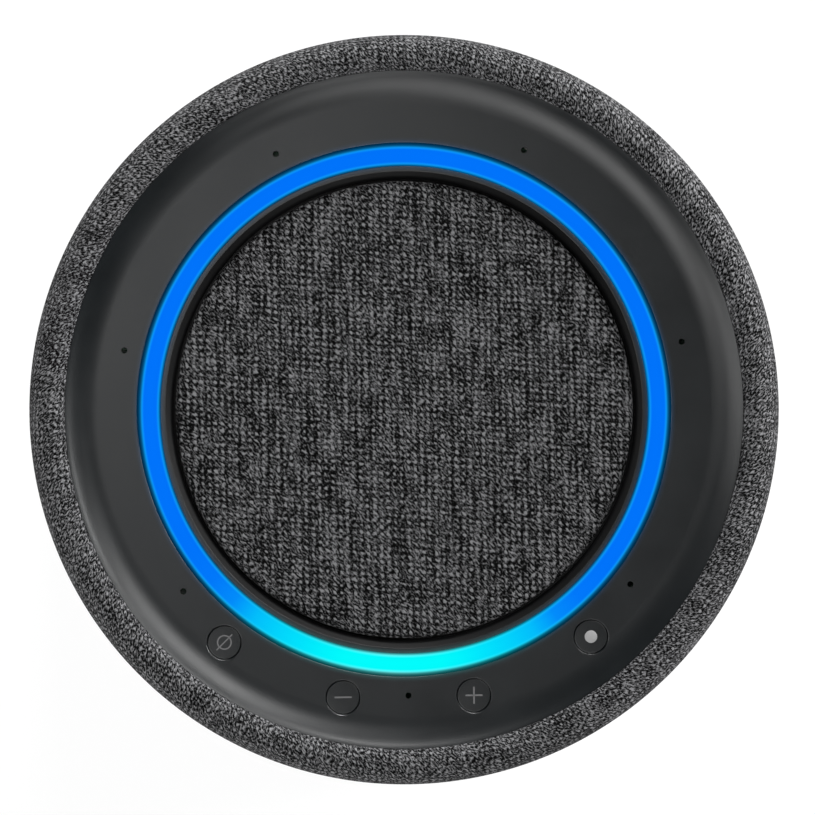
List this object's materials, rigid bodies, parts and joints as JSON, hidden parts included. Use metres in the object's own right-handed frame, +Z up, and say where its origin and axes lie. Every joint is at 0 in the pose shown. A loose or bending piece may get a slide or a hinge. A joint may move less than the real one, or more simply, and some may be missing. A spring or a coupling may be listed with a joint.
{
  "type": "smart home hub",
  "caption": "Fabric-covered cylinder with a light ring and push buttons on its dished top, loudspeakers inside and a bass tunnel through the base.",
  "frame": {"origin": "centre of the footprint on the surface the hub stands on", "axes": "+Z up along the cylinder's axis; -Y is the front, where the four buttons are; +Y is the back, where the connectors are; +X is to the right"},
  "size_m": [0.175, 0.175, 0.206],
  "materials": {
    "charcoal_fabric": "heathered charcoal knit",
    "soft_charcoal_plastic": "fine satin",
    "black_plastic": "moulded black",
    "grey_structural_plastic": "moulded, unpainted",
    "light_diffuser": "translucent, lit blue with a cyan arc at the front",
    "rubber": "matt",
    "green_circuit_board": "solder mask",
    "plated_steel": "nickel plated",
    "aluminium": "satin",
    "coated_cone": "coated paper",
    "ferrite": "sintered",
    "phenolic_cloth": "resin-treated cloth",
    "cable_jacket": "matt",
    "switch_body": "moulded"
  },
  "bodies": {
    "hub": {"fabric_sleeve": "charcoal_fabric", "outer_grille": "grey_structural_plastic", "base_housing": "grey_structural_plastic", "aperture_liner": "black_plastic", "base_cover": "black_plastic", "foot_ring": "rubber", "base_screw_1": "plated_steel", "base_screw_2": "plated_steel", "base_screw_3": "plated_steel", "port_panel": "black_plastic", "power_inlet": "black_plastic", "power_pin_left": "plated_steel", "power_pin_right": "plated_steel", "audio_jack": "black_plastic", "usb_socket": "plated_steel", "power_supply_board": "green_circuit_board", "transformer": "ferrite", "filter_capacitor": "aluminium", "power_harness": "cable_jacket", "top_bezel": "soft_charcoal_plastic", "light_ring": "light_diffuser", "led_reflector": "grey_structural_plastic", "inner_trim": "black_plastic", "top_cloth": "charcoal_fabric", "top_grille": "grey_structural_plastic", "mute_switch": "switch_body", "volume_down_switch": "switch_body", "volume_up_switch": "switch_body", "action_switch": "switch_body", "top_board": "green_circuit_board", "cabinet": "grey_structural_plastic", "cabinet_lid": "grey_structural_plastic", "right_mid_frame": "black_plastic", "right_mid_magnet": "ferrite", "right_mid_surround": "rubber", "left_mid_frame": "black_plastic", "left_mid_magnet": "ferrite", "left_mid_surround": "rubber", "top_mid_frame": "black_plastic", "top_mid_magnet": "ferrite", "top_mid_surround": "rubber", "tweeter_plate": "black_plastic", "tweeter_magnet": "ferrite", "woofer_frame": "black_plastic", "woofer_magnet": "ferrite", "woofer_surround": "rubber", "woofer_spider": "phenolic_cloth", "main_board": "green_circuit_board", "processor_shield": "plated_steel", "heatsink": "aluminium", "ribbon_cable": "cable_jacket"},
    "mute_button": {"mute_button": "soft_charcoal_plastic"},
    "volume_down_button": {"volume_down_button": "soft_charcoal_plastic"},
    "volume_up_button": {"volume_up_button": "soft_charcoal_plastic"},
    "action_button": {"action_button": "soft_charcoal_plastic"},
    "woofer_cone": {"woofer_cone": "coated_cone"},
    "right_mid_cone": {"right_mid_cone": "coated_cone"},
    "left_mid_cone": {"left_mid_cone": "coated_cone"},
    "top_mid_cone": {"top_mid_cone": "coated_cone"},
    "tweeter_dome": {"tweeter_dome": "aluminium"}
  },
  "joints": [
    {"name": "mute_press", "type": "slide", "parent": "hub", "child": "mute_button", "axis": [0, 0, -1], "range_m": [0, 0.0005], "stiffness_N_per_m": 400, "springref_m": -0.001},
    {"name": "volume_down_press", "type": "slide", "parent": "hub", "child": "volume_down_button", "axis": [0, 0, -1], "range_m": [0, 0.0005], "stiffness_N_per_m": 400, "springref_m": -0.001},
    {"name": "volume_up_press", "type": "slide", "parent": "hub", "child": "volume_up_button", "axis": [0, 0, -1], "range_m": [0, 0.0005], "stiffness_N_per_m": 400, "springref_m": -0.001},
    {"name": "action_press", "type": "slide", "parent": "hub", "child": "action_button", "axis": [0, 0, -1], "range_m": [0, 0.0005], "stiffness_N_per_m": 400, "springref_m": -0.001},
    {"name": "woofer_stroke", "type": "slide", "parent": "hub", "child": "woofer_cone", "axis": [0, 0, -1], "range_m": [-0.005, 0.005], "stiffness_N_per_m": 2000, "deforming": ["woofer_surround", "woofer_spider"]},
    {"name": "right_mid_stroke", "type": "slide", "parent": "hub", "child": "right_mid_cone", "axis": [1, 0, 0], "range_m": [-0.0015, 0.0015], "stiffness_N_per_m": 800, "deforming": ["right_mid_surround"]},
    {"name": "left_mid_stroke", "type": "slide", "parent": "hub", "child": "left_mid_cone", "axis": [-1, 0, 0], "range_m": [-0.0015, 0.0015], "stiffness_N_per_m": 800, "deforming": ["left_mid_surround"]},
    {"name": "top_mid_stroke", "type": "slide", "parent": "hub", "child": "top_mid_cone", "axis": [0, 0, 1], "range_m": [-0.0015, 0.0015], "stiffness_N_per_m": 800, "deforming": ["top_mid_surround"]},
    {"name": "tweeter_stroke", "type": "slide", "parent": "hub", "child": "tweeter_dome", "axis": [0, -1, 0], "range_m": [-0.0003, 0.0003], "stiffness_N_per_m": 1500}
  ]
}
